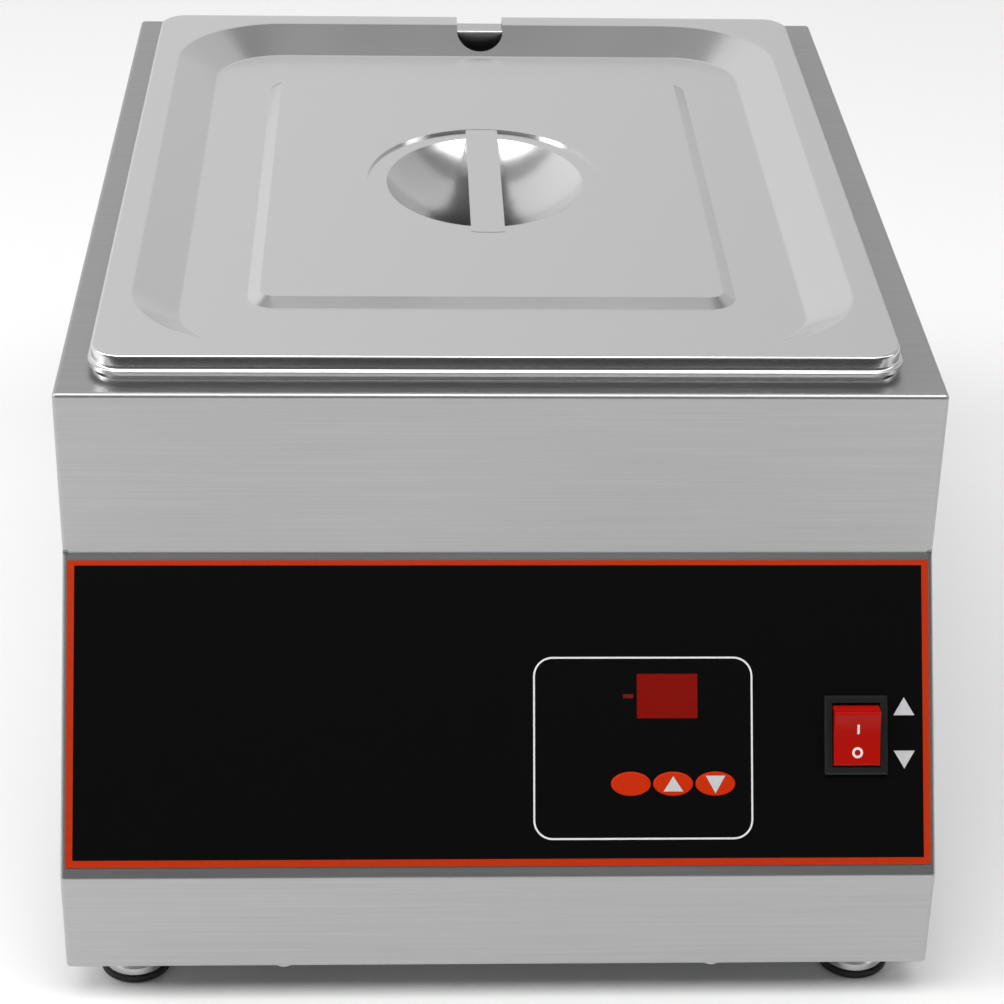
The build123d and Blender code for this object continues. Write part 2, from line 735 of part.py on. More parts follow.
def make_cutout():
    """Overheat cutout held against the tank's underside by two welded studs."""
    z_top = z_tank_floor - tank_sheet
    place = Pos(cutout_x, y_cutout, z_top)
    cap_h = cutout_h * 0.35
    flange_t = 1.0
    cap = Pos(0, 0, -cap_h) * Cylinder(cutout_r, cap_h, align=(Align.CENTER, Align.CENTER, Align.MIN))
    ears = Pos(0, 0, -cap_h - flange_t) * extrude(
        SlotOverall(cutout_stud_pitch + 8.0, 8.0), amount=flange_t)
    body = Pos(0, 0, -cutout_h) * Cylinder(
        cutout_r * 0.95, cutout_h - cap_h - flange_t, align=(Align.CENTER, Align.CENTER, Align.MIN))
    tabs = [Pos(0, side * cutout_r * 0.5, -cutout_h - blade_l / 2) * Box(blade_w, blade_t, blade_l)
            for side in (-1, 1)]
    cutout = cap + ears + body + tabs
    stud_l = cap_h + flange_t + 4.0
    xs = [side * cutout_stud_pitch / 2 for side in (-1, 1)]
    for x in xs:
        cutout -= Pos(x, 0, -cutout_h / 2) * Cylinder(stud_r + screw_gap, 2 * cutout_h)
    studs = [place * Pos(x, 0, -stud_l / 2) * Cylinder(stud_r, stud_l) for x in xs]
    nut = hex_nut(stud_r, small_nut_flats, nut_h)
    nuts = [place * Pos(x, 0, -cap_h - flange_t - nut_h) * nut for x in xs]
    return {"overheat_cutout": place * cutout, "cutout_studs": group(studs), "cutout_nuts": group(nuts)}


# Control panel

def make_film():
    """Printed film on the sloped face, cut out for the display, the keys and the switch."""
    film = on_panel(0, film_top + film_l / 2, 0) * extrude(Rectangle(film_w, film_l), amount=film_t)
    film -= on_panel(window_x, window_s) * Box(window_w, window_l, 4 * film_t)
    for x in key_xs.values():
        hole = extrude(Ellipse(key_rx + key_gap, key_ry + key_gap), amount=2 * film_t, both=True)
        film -= on_panel(x, key_s) * hole
    film -= on_panel(switch_x, switch_s) * Box(
        switch_body_w + 2 * switch_cut_gap, switch_body_l + 2 * switch_cut_gap, 4 * film_t)
    return film


def make_display():
    """Tinted filter let into the film, and the numeral block behind it."""
    filter_plate = on_panel(window_x, window_s) * extrude(Rectangle(window_w, window_l), amount=film_t)
    block = on_panel(window_x, window_s, z_board_face) * extrude(
        Rectangle(display_w, display_l), amount=display_h)
    return {"display_filter": filter_plate, "display_block": block}


def make_key(x):
    """Raised oval key, and the plunger of the tact switch that it presses."""
    crown = extrude(Ellipse(key_rx, key_ry), amount=key_rise + key_sink + film_t)
    top = crown.edges().group_by(Axis.Z)[-1]
    pad = on_panel(x, key_s, -key_sink) * fillet(top, key_rise * 0.7)
    plunger_l = board_gap + sheet - key_sink - tact_h * 0.35
    plunger = on_panel(x, key_s, -key_sink - plunger_l) * Cylinder(
        plunger_r, plunger_l, align=(Align.CENTER, Align.CENTER, Align.MIN))
    return pad, plunger


def make_tact_switches():
    """Tact switch housings on the board, one under each key."""
    body = Box(tact_w, tact_w, tact_h, align=(Align.CENTER, Align.CENTER, Align.MIN))
    body = chamfer(body.edges().filter_by(Axis.Z), 0.6)
    well = Pos(0, 0, tact_h * 0.15) * Cylinder(
        plunger_r + run_gap, tact_h, align=(Align.CENTER, Align.CENTER, Align.MIN))
    return group([on_panel(x, key_s, z_board_face) * (body - well) for x in key_xs.values()])


def board_corners():
    """Fixing points of the control board, as x and s."""
    dx = board_w / 2 - board_hole_inset
    ds = board_l / 2 - board_hole_inset
    return [(board_x + sx * dx, board_s + ss * ds) for sx in (-1, 1) for ss in (-1, 1)]


def make_board():
    """Control board behind the panel on four studs, with its parts on the far side."""
    z_back = z_board_back
    board = on_panel(board_x, board_s, z_back) * extrude(Rectangle(board_w, board_l), amount=board_t)
    studs, spacers, nuts = [], [], []
    stud_l = board_gap + board_t + 5.0
    for x, s in board_corners():
        board -= on_panel(x, s, z_back) * Cylinder(stud_r + screw_gap, 4 * board_t)
        studs.append(on_panel(x, s, -sheet - stud_l / 2) * Cylinder(stud_r, stud_l))
        tube = Cylinder(spacer_r, board_gap) - Cylinder(stud_r + screw_gap, 2 * board_gap)
        spacers.append(on_panel(x, s, -sheet - board_gap / 2) * tube)
        nuts.append(on_panel(x, s, z_back - nut_h) * hex_nut(stud_r, small_nut_flats, nut_h))
    return {
        "control_board": board, "board_studs": group(studs), "board_spacers": group(spacers),
        "board_nuts": group(nuts),
    }


def board_part(dx, ds, w, l, h):
    """A block on the back of the board, placed from the board's middle."""
    return on_panel(board_x + dx, board_s + ds, z_board_back - h) * extrude(Rectangle(w, l), amount=h)


def make_board_parts():
    """Transformer, relay and the two terminal strips on the back of the board."""
    core = board_part(transformer_dx, transformer_ds, *core_size)
    bobbin = board_part(transformer_dx, transformer_ds, *bobbin_size)
    relay = fillet(board_part(relay_dx, transformer_ds, *relay_size).edges(), 0.8)
    supply = board_part(supply_dx, strip_ds, supply_w, strip_l, supply_h)
    signal = board_part(signal_dx, strip_ds, signal_w, strip_l, signal_h)
    return {
        "board_transformer": core + bobbin, "board_relay": relay,
        "board_terminals": group([supply, signal]),
    }


# Rocker switch

def make_switch_housing():
    """Frame and body of the switch: the frame lies on the film, the body hangs in the cut-out."""
    frame = extrude(Rectangle(bezel_w, bezel_l), amount=bezel_t)
    frame = Pos(0, 0, film_t) * fillet(frame.edges().group_by(Axis.Z)[-1], bezel_t * 0.4)
    body = Pos(0, 0, -switch_depth) * extrude(
        Rectangle(switch_body_w, switch_body_l), amount=switch_depth + film_t)
    well = Pos(0, 0, -switch_depth + switch_wall) * extrude(
        Rectangle(mouth_w, mouth_l), amount=2 * switch_depth)
    socket = Pos(0, 0, -pivot_sink) * Cylinder(
        pivot_r + run_gap, mouth_w + 2 * (pivot_l + run_gap), rotation=(0, 90, 0))
    return on_panel(switch_x, switch_s) * (frame + body - well - socket)


def make_rocker():
    """Lit rocker, drawn level and then tipped so that its lower half is pressed in."""
    reach = mouth_l / 2 - rocker_gap
    top = rocker_lift + pivot_sink
    edge = rocker_top_l / 2
    neck = (reach ** 2 - edge ** 2) ** 0.5
    foot = radians(55.0)
    low = (reach * cos(foot), -reach * sin(foot))
    outline = [
        ThreePointArc((-edge, top), (0, top - rocker_dip), (edge, top)),
        Line((edge, top), (edge, neck)),
        ThreePointArc((edge, neck), (reach, 0), low),
        Line(low, (-low[0], low[1])),
        ThreePointArc((-low[0], low[1]), (-reach, 0), (-edge, neck)),
        Line((-edge, neck), (-edge, top)),
    ]
    face = make_face(Plane.YZ * Curve(outline))
    body = extrude(face, amount=mouth_w / 2 - rocker_gap, both=True)
    tips = [e for e in body.edges().filter_by(Axis.X) if e.center().Z > top - 1e-3]
    body = fillet(tips, 0.8)
    pins = [Pos(side * (mouth_w / 2 - rocker_gap + pivot_l / 2), 0, 0)
            * Cylinder(pivot_r, pivot_l, rotation=(0, 90, 0)) for side in (-1, 1)]
    rocker = Rot(rocker_tilt, 0, 0) * (body + pins)
    return on_panel(switch_x, switch_s, -pivot_sink) * rocker


def make_switch_blades():
    """Four blade terminals below the switch body."""
    blade = Box(blade_w, blade_t, blade_l, align=(Align.CENTER, Align.CENTER, Align.MAX))
    return group([on_panel(x, s, -switch_depth) * blade for x, s in blade_spots()])


# Rear and base fittings

def make_inlet():
    """Mains inlet in the rear cover: socket, three pins with tabs, two screws and two nuts."""
    place = Pos(inlet_x, y_back + sheet, z_inlet) * Rot(-90, 0, 0)
    rim = extrude(RectangleRounded(inlet_rim_w, inlet_rim_h, 4.0), amount=inlet_rim_t)
    body = extrude(Rectangle(inlet_body_w, inlet_body_h), amount=-inlet_body_d)
    mouth = Pos(0, 0, inlet_rim_t - inlet_mouth_d) * extrude(
        Rectangle(inlet_mouth_w, inlet_mouth_h), amount=2 * inlet_mouth_d)
    mouth = chamfer(mouth.edges().filter_by(Axis.Z).sort_by(Axis.Y)[-2:], 3.5)
    socket = rim + body - mouth
    pins = []
    for x, y in pin_places:
        blade_in = Pos(x, y, -inlet_body_d) * Box(
            pin_w, pin_h, inlet_body_d - 4.0, align=(Align.CENTER, Align.CENTER, Align.MIN))
        tab = Pos(x, y, -inlet_body_d) * Box(
            blade_t, blade_w, tab_l, align=(Align.CENTER, Align.CENTER, Align.MAX))
        pins.append(blade_in + tab)
        socket -= Pos(x, y, -inlet_body_d) * Box(pin_w, pin_h, 2 * inlet_body_d)
    screws, nuts = [], []
    for side in (-1, 1):
        x = side * inlet_pitch / 2
        socket -= Pos(x, 0, 0) * Cylinder(inlet_screw_r + screw_gap, 6 * inlet_rim_t)
        socket -= Pos(x, 0, inlet_rim_t) * Cylinder(inlet_screw_r * 2 + 0.2, 2 * inlet_head_h)
        screws.append(place * Pos(x, 0, inlet_rim_t - inlet_head_h) * pan_head_screw(
            inlet_screw_r, inlet_screw_l, inlet_screw_r * 2, inlet_head_h))
        nuts.append(place * Pos(x, 0, -sheet - nut_h) * hex_nut(inlet_screw_r, small_nut_flats, nut_h))
    return {
        "inlet_socket": place * socket, "inlet_pins": group([place * p for p in pins]),
        "inlet_screws": group(screws), "inlet_nuts": group(nuts),
    }


def block_pole_places():
    """The middle of each pole of the terminal block."""
    pitch = block_w / (block_poles + 0.5)
    first = block_x - pitch * (block_poles - 1) / 2
    return [(first + pole * pitch, y_block) for pole in range(block_poles)]


def make_terminal_block():
    """Terminal block on the base plate with a screw over each end of each pole."""
    body = Pos(block_x, y_block, z_base) * Box(
        block_w, block_d, block_h, align=(Align.CENTER, Align.CENTER, Align.MIN))
    body = chamfer(body.edges().group_by(Axis.Z)[-1], 1.5)
    well_depth = block_h * 0.45
    screws = []
    for x, py in block_pole_places():
        for side in (-1, 1):
            spot = Pos(x, py + side * block_d / 4, z_base + block_h - well_depth)
            body -= spot * Cylinder(3.0, 2 * well_depth)
            screws.append(spot * pan_head_screw(1.5, 3.0, 2.6, 2.0))
            body -= spot * Cylinder(1.5, 6.0)
    return {"terminal_block": body, "terminal_screws": group(screws)}


def make_earth():
    """Earth stud welded to the base plate, with its nut over the earth lead's ring."""
    stud = Pos(earth_x, y_earth, z_base) * Cylinder(
        earth_r, earth_l, align=(Align.CENTER, Align.CENTER, Align.MIN))
    nut = Pos(earth_x, y_earth, z_base + ring_t) * hex_nut(earth_r, earth_r * 3.2, nut_t - 1.0)
    return {"earth_stud": stud, "earth_nut": nut}


# Leads

def panel_point(x, s, out):
    """The same place as on_panel gives, as plain coordinates."""
    return tuple(on_panel(x, s, out).position)


def blade_spots():
    """The switch blades as x and s: the two lower ones first, and each pair from left to right."""
    return [(switch_x + dx, switch_s + ds) for dx, ds in switch_blade_places]


def supply_spots():
    """The supply strip's poles, from right to left."""
    return [board_x + supply_dx + pole for pole in supply_poles]


def receptacle(over):
    """Push-on receptacle over a tab that points along -z from the origin."""
    length = blade_l + over
    sleeve = Pos(0, 0, -length) * Box(
        receptacle_w, receptacle_t, length - 1.0, align=(Align.CENTER, Align.CENTER, Align.MIN))
    return sleeve - Box(blade_w, blade_t, 2 * blade_l)


def make_lead_terminals():
    """Push-on receptacles, crimp sleeves on the element's pins and the earth lead's ring."""
    pieces = []
    for x, s in blade_spots():
        pieces.append(on_panel(x, s, -switch_depth) * receptacle(receptacle_over))
    inlet_place = Pos(inlet_x, y_back + sheet, z_inlet) * Rot(-90, 0, 0)
    tab_over = receptacle_over + tab_l - blade_l
    for x, y in pin_places:
        turned = Rot(0, 0, 90) * receptacle(tab_over)
        slot = Pos(x, y, -inlet_body_d) * Box(blade_t, blade_w, 2 * tab_l)
        pieces.append(inlet_place * (Pos(x, y, -inlet_body_d) * turned - slot))
    for side in (-1, 1):
        spot = Pos(cutout_x, y_cutout + side * cutout_r / 2, z_cutout_low)
        pieces.append(spot * receptacle(receptacle_over))
    sleeve = Cylinder(sleeve_r, sleeve_l) - Cylinder(pin_r, 2 * sleeve_l)
    cap = Pos(0, 0, -(sleeve_l - 2.0) / 2) * Cylinder(sleeve_r, 2.0)
    sleeve = Rot(-90, 0, 0) * (sleeve + cap)
    for x in element_cold_x:
        pieces.append(Pos(x, y_pin_tip - 2.0 + sleeve_l / 2, z_element) * sleeve)
    ring = Cylinder(earth_r * 2, ring_t, align=(Align.CENTER, Align.CENTER, Align.MIN))
    tongue = Pos(-earth_r * 2.4, 0, 0) * Box(
        earth_r * 2.8, sleeve_r * 1.6, ring_t, align=(Align.CENTER, Align.CENTER, Align.MIN))
    barrel = Pos(-ring_reach + ring_barrel_l / 2, 0, sleeve_r) * Cylinder(
        sleeve_r, ring_barrel_l, rotation=(0, 90, 0))
    ring = ring + tongue + barrel - Cylinder(earth_r + screw_gap, 6 * ring_t)
    pieces.append(Pos(earth_x, y_earth, z_base) * ring)
    return group(pieces)


def make_mains_leads():
    """Line, earth and neutral from the inlet to the terminal block and the earth stud."""
    y_tab = y_back + sheet - inlet_body_d - tab_l - receptacle_over
    y_entry = y_block + block_d / 2
    z_entry = z_base + block_wire_h
    poles = [x for x, _ in block_pole_places()]
    leads = []
    for (dx, dy), x_pole, y_turn in zip((pin_places[0], pin_places[2]), poles, (-16.0, -30.0)):
        x, z = inlet_x + dx, z_inlet - dy
        leads.append(lead([
            (x, y_tab, z), (x, y_tab + y_turn, z), (x_pole, y_entry + 17.0, z_entry),
            (x_pole, y_entry, z_entry),
        ]))
    z_mid = z_inlet - pin_places[1][1]
    leads.append(lead([
        (inlet_x, y_tab, z_mid), (inlet_x, y_tab - 20.0, z_mid),
        (inlet_x + 14.0, y_earth, z_base + sleeve_r), (earth_x - ring_reach, y_earth, z_base + sleeve_r),
    ]))
    return group(leads)


def make_switch_leads():
    """From the terminal block to the switch, and from the switch to the control board."""
    y_exit = y_block - block_d / 2
    z_exit = z_base + block_wire_h
    leads = []
    for (x, s), (x_pole, _) in zip(blade_spots()[:2], block_pole_places()):
        leads.append(lead([
            panel_point(x, s, blade_tip), panel_point(x, s, blade_tip - 24.0),
            (x, y_tank_front + 18.0, z_run), (x, y_exit - 56.0, z_run),
            (x_pole, y_exit - 17.0, z_exit), (x_pole, y_exit, z_exit),
        ]))
    (x_in, s_in), (x_out, s_out) = blade_spots()[2:]
    x_first, x_second = supply_spots()[:2]
    behind, beside = blade_tip - 17.5, blade_tip - 12.5
    leads.append(lead([
        panel_point(x_in, s_in, blade_tip), panel_point(x_in, s_in, behind),
        panel_point(x_first, strip_s, behind), panel_point(x_first, strip_s, supply_face),
    ]))
    leads.append(lead([
        panel_point(x_out, s_out, blade_tip), panel_point(x_out, s_out, blade_tip - 10.0),
        panel_point(x_out - 9.0, s_out - 10.0, beside), panel_point(x_out - 30.0, s_out - 8.0, beside),
        panel_point(x_second, strip_s, beside), panel_point(x_second, strip_s, supply_face),
    ]))
    return group(leads)


def make_heater_leads():
    """From the control board to the element, one side by way of the overheat cutout."""
    far, near = element_cold_x
    y_sleeve = y_pin_tip - 2.0
    x_third, x_fourth = supply_spots()[2:]
    z_tab = z_cutout_low - blade_l - receptacle_over
    front_tab, back_tab = y_cutout - cutout_r / 2, y_cutout + cutout_r / 2
    straight = [
        panel_point(x_fourth, strip_s, supply_face), panel_point(x_fourth, strip_s, supply_face - 18.0),
        (near, y_sleeve - 13.5, z_element - 29.5), (near, y_sleeve - 10.5, z_element),
        (near, y_sleeve, z_element),
    ]
    to_cutout = [
        panel_point(x_third, strip_s, supply_face), panel_point(x_third, strip_s, supply_face - 22.0),
        (x_third - 12.0, y_tank_front - 4.0, z_run + 6.0), (cutout_x + 8.0, front_tab - 34.0, z_run + 2.0),
        (cutout_x, front_tab, z_run + 8.0), (cutout_x, front_tab, z_tab),
    ]
    from_cutout = [
        (cutout_x, back_tab, z_tab), (cutout_x, back_tab, z_run + 8.0),
        (far, back_tab - 22.0, z_run + 4.0), (far, y_tank_front - 14.0, z_run + 10.0),
        (far, y_sleeve - 11.5, z_element - 29.5), (far, y_sleeve - 10.5, z_element),
        (far, y_sleeve, z_element),
    ]
    return group([lead(straight), lead(to_cutout), lead(from_cutout)])


def make_probe_lead():
    """From the temperature probe's outer end to the control board."""
    y_end = y_tank_front - probe_out
    x_strip = board_x + signal_dx
    face = z_board_back - signal_h
    return lead([
        (probe_x, y_end, z_element), (probe_x, y_end - 19.0, z_element),
        (probe_x, y_end - 28.0, z_element - 26.0), (probe_x + 20.0, y_end - 28.0, z_run + 19.0),
        (x_strip - 21.0, y_end - 23.0, z_run + 14.0), panel_point(x_strip, strip_s, face - 20.0),
        panel_point(x_strip, strip_s, face),
    ], r=probe_lead_r)


def make_lead_clips():
    """Two saddles on the base plate under the switch leads."""
    xs = [x for x, _ in blade_spots()[:2]]
    width = xs[1] - xs[0] + 2 * clip_wall
    saddle = Box(width, clip_l, run_rise, align=(Align.CENTER, Align.CENTER, Align.MIN))
    clips = []
    for y in clip_ys:
        clip = Pos(sum(xs) / 2, y, z_base) * saddle
        for x in xs:
            clip -= Pos(x, y, z_run) * Cylinder(wire_r, 2 * clip_l, rotation=(90, 0, 0))
        clips.append(clip)
    return group(clips)


def main():
    os.makedirs("parts", exist_ok=True)
    nodes = {
        "casing": make_casing(),
        "rear_cover": make_rear_cover(),
        "base_plate": make_base_plate(),
        "rear_cover_screws": make_screws(
            [(x, y_back + sheet, z) for x, z in rear_screw_places()], Rot(-90, 0, 0),
            screw_r, screw_l, screw_head_r, screw_head_h),
        "base_plate_screws": make_screws(
            [(x, y, z_base - sheet) for x, y in base_screw_places()], Rot(180, 0, 0),
            screw_r, screw_l, screw_head_r, screw_head_h),
        "water_tank": make_tank(),
        "tank_wrap": make_tank_wrap(),
        "food_pan": make_pan(),
        "pan_lid": make_lid(),
        "lid_strap": make_strap(),
        "heating_element": make_element(),
        "element_clips": make_element_clips(),
        "temperature_probe": make_probe(),
        "panel_film": make_film(),
        "tact_switches": make_tact_switches(),
        "switch_housing": make_switch_housing(),
        "switch_rocker": make_rocker(),
        "switch_blades": make_switch_blades(),
        "lead_terminals": make_lead_terminals(),
        "mains_leads": make_mains_leads(),
        "switch_leads": make_switch_leads(),
        "heater_leads": make_heater_leads(),
        "probe_lead": make_probe_lead(),
        "lead_clips": make_lead_clips(),
    }
    for more in (make_feet(), make_fittings(), make_cutout(), make_display(), make_board(),
                 make_board_parts(), make_inlet(), make_terminal_block(), make_earth()):
        nodes.update(more)
    for name, x in key_xs.items():
        pad, plunger = make_key(x)
        nodes[f"key_{name}"] = pad
        nodes[f"plunger_{name}"] = plunger
    for name, shape in nodes.items():
        export_step(shape, f"parts/{name}.step")
    print(len(nodes), "nodes")


main()
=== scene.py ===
import bmesh
import bpy
from math import hypot, pi, radians
from mathutils import Matrix, Vector


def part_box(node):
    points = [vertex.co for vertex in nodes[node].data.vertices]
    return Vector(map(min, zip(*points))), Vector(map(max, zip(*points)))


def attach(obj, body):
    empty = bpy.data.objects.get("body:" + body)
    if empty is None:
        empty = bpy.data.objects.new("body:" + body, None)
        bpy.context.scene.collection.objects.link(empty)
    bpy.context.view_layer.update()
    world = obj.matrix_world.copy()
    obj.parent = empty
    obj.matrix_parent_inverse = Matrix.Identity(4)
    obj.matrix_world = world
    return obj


# A table-top chocolate melter in brushed stainless steel. Metres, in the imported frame:
# X to the right, Y to the back, Z up, and the control panel faces -Y.
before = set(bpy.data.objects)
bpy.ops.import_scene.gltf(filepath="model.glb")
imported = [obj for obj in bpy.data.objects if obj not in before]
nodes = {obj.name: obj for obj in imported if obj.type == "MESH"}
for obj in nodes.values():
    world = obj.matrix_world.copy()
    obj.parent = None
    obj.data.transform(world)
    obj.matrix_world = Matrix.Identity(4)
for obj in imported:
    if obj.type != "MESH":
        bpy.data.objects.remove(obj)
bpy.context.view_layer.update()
MM = 0.001

# The casing's levels and faces
casing_low, casing_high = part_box("casing")
z_deck = casing_high[2]
y_nose = casing_low[1]
nose = 57.5 * MM
y_band = y_nose + nose
band_h = 58.5 * MM
z_slope = z_deck - band_h
slope_h = 90.0 * MM
slope_l = hypot(nose, slope_h)

# The printed film on the sloped face, and its lines
film_w = 284.5 * MM
film_l = 100.5 * MM
film_top = 2.6 * MM
film_t = 0.4 * MM
print_t = 0.05 * MM
key_top = 1.1 * MM
border_line = 2.3 * MM
border_top_line = 1.7 * MM
controls_frame = (72.6 * MM, 60.1 * MM, 6.4 * MM)
controls_line = 0.6 * MM

# Places on the sloped face: across from its middle, and down from its top edge
controls_centre = (47.1 * MM, 64.6 * MM)
minus_centre = (42.2 * MM, 47.5 * MM)
switch_up_centre = (133.7 * MM, 51.05 * MM)
switch_down_centre = (133.7 * MM, 68.65 * MM)
key_up_centre = (56.95 * MM, 76.35 * MM)
key_down_centre = (70.9 * MM, 76.6 * MM)


def panel_place(x, s, out=0.0):
    """A place on the sloped face: x across, s down the slope, out along its normal."""
    across = Vector((1, 0, 0))
    up = Vector((0, nose, slope_h)) / slope_l
    normal = Vector((0, -slope_h, nose)) / slope_l
    place = Vector((0, y_band, z_slope)) + across * x - up * s + normal * out
    turn = Matrix((across, up, normal)).transposed().to_4x4()
    return Matrix.Translation(place) @ turn


# The surroundings' brightness along an arc over the machine, in parts of half a turn from level
# behind to level in front: pale behind, dim up to overhead, a wide soft box just forward of
# overhead, and dark in front. The slant makes the left brighter than the right.
sky_levels = [
    (0.0, 0.68), (0.36, 0.62),
    (0.392, 0.26), (0.502, 0.22),
    (0.522, 2.2), (0.64, 2.2),
    (0.70, 0.09), (1.0, 0.16),
]
sky_slant = -0.4

# Soft boxes of the studio: place, target, size in metres and power in watts
soft_boxes = {
    "front_box": ((0.0, -0.65, 1.5), (0.0, -0.42, 0.0), (1.6, 0.9), 10.0),
    "left_box": ((-1.3, -0.2, 0.9), (0.0, 0.0, 0.15), (0.6, 0.8), 5.0),
    "right_box": ((1.3, -0.2, 0.9), (0.0, 0.0, 0.15), (0.6, 0.8), 1.2),
}
floor_half = 4.0

# The dark card, just under the deck's level and forward of the band
card_size = (3.0, 0.9)
card_forward = 0.453
card_drop = 1.5 * MM

# The photograph's viewpoint: its place from the middle of the deck's front edge, its turn and lens
view_offset = (-0.0334, -0.7735, 0.3994)
view_pitch, view_yaw, view_roll = radians(29.542), radians(2.492), radians(1.255)
sensor_w = 36.0
focal_length = 97.58

# The rocker's dished face, from its pivot
pivot_place = (117.5 * MM, 60.5 * MM, -1.8 * MM)
rocker_tilt = radians(11.0)
rocker_face_h = 5.9 * MM
rocker_dish_r = 46.46 * MM


# Camera

def make_camera():
    """The photograph's viewpoint, in front of the machine and above it."""
    data = bpy.data.cameras.new("camera")
    data.sensor_width = sensor_w
    data.lens = focal_length
    data.clip_start = 0.05
    data.clip_end = 60.0
    camera = bpy.data.objects.new("camera", data)
    bpy.context.scene.collection.objects.link(camera)
    across, back, up = view_offset
    place = Vector((across, y_band + back, z_deck + up))
    turn = (Matrix.Rotation(-view_yaw, 4, "Z") @ Matrix.Rotation(-view_pitch, 4, "X")
            @ Matrix.Rotation(-view_roll, 4, "Y") @ Matrix.Rotation(pi / 2, 4, "X"))
    camera.matrix_world = Matrix.Translation(place) @ turn
    bpy.context.scene.camera = camera


# Studio

def soft_light(name, place, target, size, power):
    """A rectangular soft box that faces its target."""
    data = bpy.data.lights.new(name, "AREA")
    data.shape = "RECTANGLE"
    data.size, data.size_y = size
    data.energy = power
    light = bpy.data.objects.new(name, data)
    bpy.context.scene.collection.objects.link(light)
    aim = Vector(target) - Vector(place)
    turn = aim.to_track_quat("-Z", "Y").to_matrix().to_4x4()
    light.matrix_world = Matrix.Translation(Vector(place)) @ turn


def make_surroundings():
    """Surroundings that change from back to front, and are brighter on the left."""
    world = bpy.data.worlds.new("studio")
    bpy.context.scene.world = world
    world.use_nodes = True
    tree = world.node_tree
    direction = tree.nodes.new("ShaderNodeTexCoord")
    axes = tree.nodes.new("ShaderNodeSeparateXYZ")
    arc = tree.nodes.new("ShaderNodeMath")
    arc.operation = "ARCTAN2"
    part = tree.nodes.new("ShaderNodeMath")
    part.operation = "DIVIDE"
    part.inputs[1].default_value = pi
    ramp = tree.nodes.new("ShaderNodeValToRGB")
    stops = ramp.color_ramp.elements
    while len(stops) < len(sky_levels):
        stops.new(0.5)
    for stop, (height, level) in zip(stops, sky_levels):
        stop.position = height
        stop.color = (level, level, level, 1.0)
    tree.links.new(direction.outputs["Generated"], axes.inputs["Vector"])
    tree.links.new(axes.outputs["Z"], arc.inputs[0])
    tree.links.new(axes.outputs["Y"], arc.inputs[1])
    tree.links.new(arc.outputs["Value"], part.inputs[0])
    tree.links.new(part.outputs["Value"], ramp.inputs["Fac"])
    slant = tree.nodes.new("ShaderNodeMath")
    slant.operation = "MULTIPLY_ADD"
    slant.inputs[1].default_value = sky_slant
    slant.inputs[2].default_value = 1.0
    tree.links.new(axes.outputs["X"], slant.inputs[0])
    background = tree.nodes["Background"]
    tree.links.new(ramp.outputs["Color"], background.inputs["Color"])
    tree.links.new(slant.outputs["Value"], background.inputs["Strength"])


def make_flag():
    """A dark card in front, seen only in reflections, as a photographer holds one."""
    bm = bmesh.new()
    bmesh.ops.create_grid(bm, x_segments=1, y_segments=1, size=0.5)
    bmesh.ops.scale(bm, vec=(*card_size, 1.0), verts=bm.verts)
    bmesh.ops.translate(bm, vec=(0.0, y_band - card_forward, z_deck - card_drop), verts=bm.verts)
    flag = new_piece("dark_card", bm)
    flag.data.materials.append(plain_material("card_black", (0.01, 0.01, 0.01), 0.9))
    flag.visible_camera = flag.visible_diffuse = flag.visible_shadow = False
    flag.visible_transmission = False


def make_studio():
    """Pale floor, surroundings, the dark card, and a soft box above the front and on each side."""
    bpy.context.scene.view_settings.view_transform = "Standard"
    make_surroundings()
    make_flag()
    for name, (place, target, size, power) in soft_boxes.items():
        soft_light(name, place, target, size, power)
    bm = bmesh.new()
    bmesh.ops.create_grid(bm, x_segments=1, y_segments=1, size=floor_half)
    floor = new_piece("studio_floor", bm)
    floor.data.materials.append(plain_material("pale_floor", (0.90, 0.90, 0.90), 0.7))


# Mesh helpers

def new_piece(name, bm):
    """Turns a bmesh into an object at the origin."""
    mesh = bpy.data.meshes.new(name)
    bm.to_mesh(mesh)
    bm.free()
    piece = bpy.data.objects.new(name, mesh)
    bpy.context.scene.collection.objects.link(piece)
    return piece


def printed_piece(name, bm, place, material, body):
    """Lays a flat print on its surface, with its ink, on the body that carries it."""
    bmesh.ops.transform(bm, matrix=place, verts=bm.verts)
    piece = new_piece(name, bm)
    piece.data.materials.append(material)
    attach(piece, body)


def rounded_rectangle(bm, w, l, r, segments=10):
    """One flat face with rounded corners, centred on the origin."""
    bmesh.ops.create_grid(bm, x_segments=1, y_segments=1, size=0.5)
    bmesh.ops.scale(bm, vec=(w, l, 1.0), verts=bm.verts)
    if r > 0:
        bmesh.ops.bevel(bm, geom=bm.verts[:], offset=r, offset_type="OFFSET", segments=segments,
                        profile=0.5, affect="VERTICES", material=-1)
    return bm.faces[:]


def raise_flat(bm):
    """Gives flat faces the thickness of a print."""
    faces = bm.faces[:]
    grown = bmesh.ops.extrude_face_region(bm, geom=faces, use_keep_orig=True)
    tops = [v for v in grown["geom"] if isinstance(v, bmesh.types.BMVert)]
    bmesh.ops.translate(bm, vec=(0, 0, print_t), verts=tops)
    bmesh.ops.recalc_face_normals(bm, faces=bm.faces[:])


def flat_frame(name, w, l, r, line, place, material, top_line=None):
    """A printed line round a rectangle, whose top may be of another width."""
    bm = bmesh.new()
    faces = rounded_rectangle(bm, w, l, r)
    bmesh.ops.inset_region(bm, faces=faces, thickness=line, use_boundary=True,
                           use_even_offset=True)
    middle = max(bm.faces, key=lambda f: f.calc_area())
    if top_line is not None:
        upper = [v for v in middle.verts if v.co.y > 0]
        bmesh.ops.translate(bm, vec=(0, line - top_line, 0), verts=upper)
    bmesh.ops.delete(bm, geom=[middle], context="FACES")
    raise_flat(bm)
    printed_piece(name, bm, place, material, "housing")


